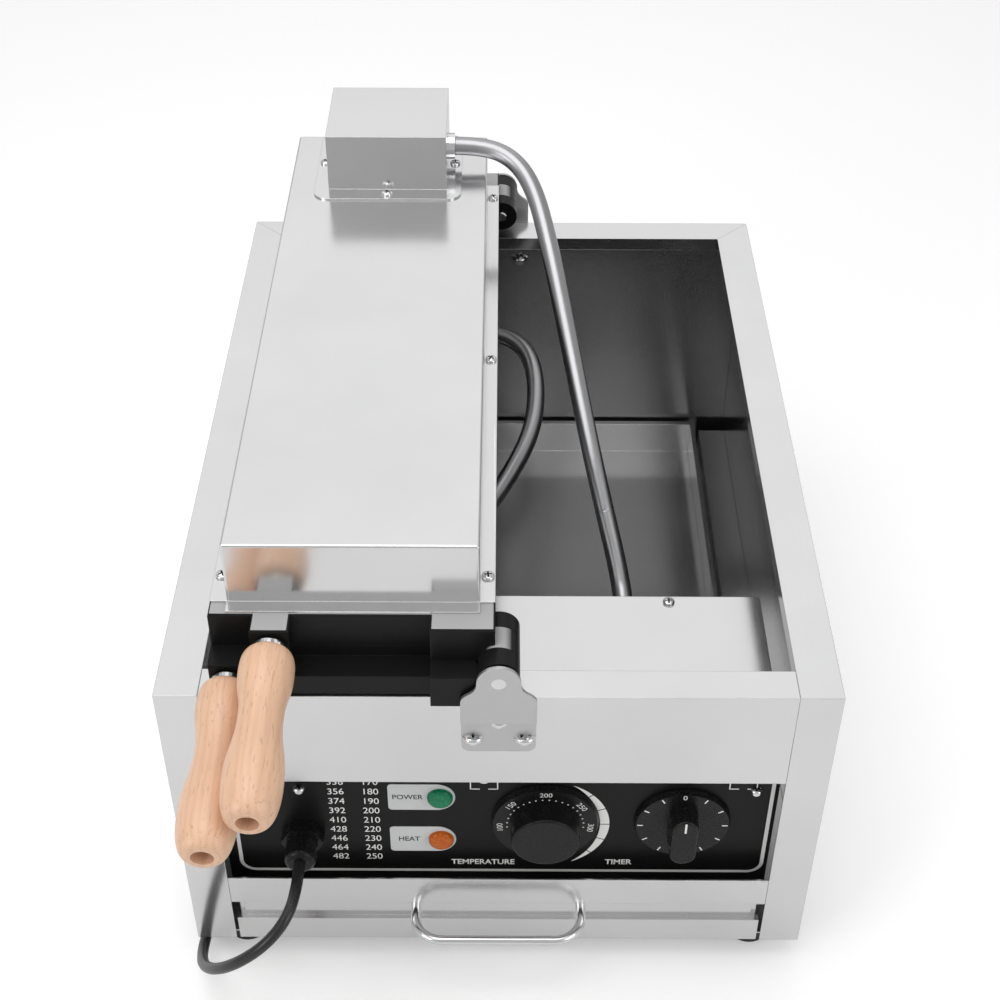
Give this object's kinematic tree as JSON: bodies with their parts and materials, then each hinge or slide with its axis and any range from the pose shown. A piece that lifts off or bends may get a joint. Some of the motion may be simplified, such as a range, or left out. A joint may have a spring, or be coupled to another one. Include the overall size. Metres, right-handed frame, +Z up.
{
  "type": "coin waffle maker",
  "caption": "Countertop coin waffle maker: two cast moulds with wooden handles open like a book and turn over on a central axle above an open steel cabinet with a crumb tray.",
  "frame": {"origin": "on the floor under the middle of the machine's whole length, handles included and the cord left out", "axes": "+X to the right seen from the controls, +Y from the controls to the back, +Z up"},
  "size_m": [0.3802, 0.7747, 0.37],
  "materials": {
    "stainless": "brushed",
    "bright_steel": "polished",
    "conduit_steel": "smooth, flexible",
    "black_casting": "black non-stick coating on a cast body",
    "black_panel": "satin",
    "black_plastic": "matte",
    "green_lens": "glossy",
    "orange_lens": "glossy",
    "rubber": "matte",
    "cord_rubber": "satin",
    "brass": "polished",
    "beech": "smooth, clear coated",
    "ceramic": "matte",
    "fibre_pad": "fibrous",
    "heater_sheath": "heat-darkened"
  },
  "bodies": {
    "cabinet": {"bracket_screws": "bright_steel", "cabinet_screws": "bright_steel", "cable_gland": "black_plastic", "compartment_cover": "stainless", "compartment_floor": "stainless", "compartment_rear_wall": "stainless", "control_panel": "black_panel", "front_fascia": "stainless", "front_pivot_bracket": "stainless", "front_pivot_pin": "bright_steel", "heat_lamp": "orange_lens", "left_side_panel": "stainless", "left_tray_guide": "stainless", "lower_conduit": "conduit_steel", "lower_front_rail": "stainless", "lower_wall_fitting": "bright_steel", "mains_cord": "cord_rubber", "mains_cord_coil": "cord_rubber", "mains_plug": "cord_rubber", "plug_pins": "brass", "power_lamp": "green_lens", "rear_panel": "stainless", "rear_pivot_bracket": "stainless", "rear_pivot_pin": "bright_steel", "right_side_panel": "stainless", "right_tray_guide": "stainless", "rubber_feet": "rubber", "terminal_block": "ceramic", "thermostat": "black_plastic", "timer_switch": "black_plastic", "upper_conduit": "conduit_steel", "upper_wall_fitting": "bright_steel"},
    "lower_mould": {"lower_box_fitting": "bright_steel", "lower_casting": "black_casting", "lower_ceramic_terminal": "ceramic", "lower_cover": "stainless", "lower_handle_bolt": "bright_steel", "lower_handle_grip": "beech", "lower_heat_pad": "fibre_pad", "lower_heater": "heater_sheath", "lower_mould_screws": "bright_steel", "lower_terminal_box": "stainless"},
    "upper_mould": {"upper_box_fitting": "bright_steel", "upper_casting": "black_casting", "upper_ceramic_terminal": "ceramic", "upper_cover": "stainless", "upper_handle_bolt": "bright_steel", "upper_handle_grip": "beech", "upper_heat_pad": "fibre_pad", "upper_heater": "heater_sheath", "upper_mould_screws": "bright_steel", "upper_terminal_box": "stainless"},
    "tray": {"crumb_tray": "stainless", "tray_front": "stainless", "tray_pull": "bright_steel"},
    "temperature_control": {"temperature_knob": "black_plastic", "thermostat_shaft": "bright_steel"},
    "timer_control": {"timer_knob": "black_plastic", "timer_shaft": "bright_steel"}
  },
  "joints": [
    {"name": "flip", "type": "hinge", "parent": "cabinet", "child": "lower_mould", "pos_m": [0, 0, 0.265], "axis": [0, 1, 0], "range_deg": [0, 180], "deforming": ["upper_conduit", "lower_conduit"]},
    {"name": "open", "type": "hinge", "parent": "lower_mould", "child": "upper_mould", "pos_m": [0, 0, 0.265], "axis": [0, 1, 0], "range_deg": [0, 180], "deforming": ["upper_conduit"]},
    {"name": "tray_slide", "type": "slide", "parent": "cabinet", "child": "tray", "axis": [0, -1, 0], "range_m": [0, 0.4]},
    {"name": "temperature_turn", "type": "hinge", "parent": "cabinet", "child": "temperature_control", "pos_m": [0.028, -0.18889, 0.1215], "axis": [0, 1, 0], "range_deg": [-95, 180]},
    {"name": "timer_turn", "type": "hinge", "parent": "cabinet", "child": "timer_control", "pos_m": [0.11, -0.18889, 0.1215], "axis": [0, 1, 0], "range_deg": [0, 300]}
  ]
}
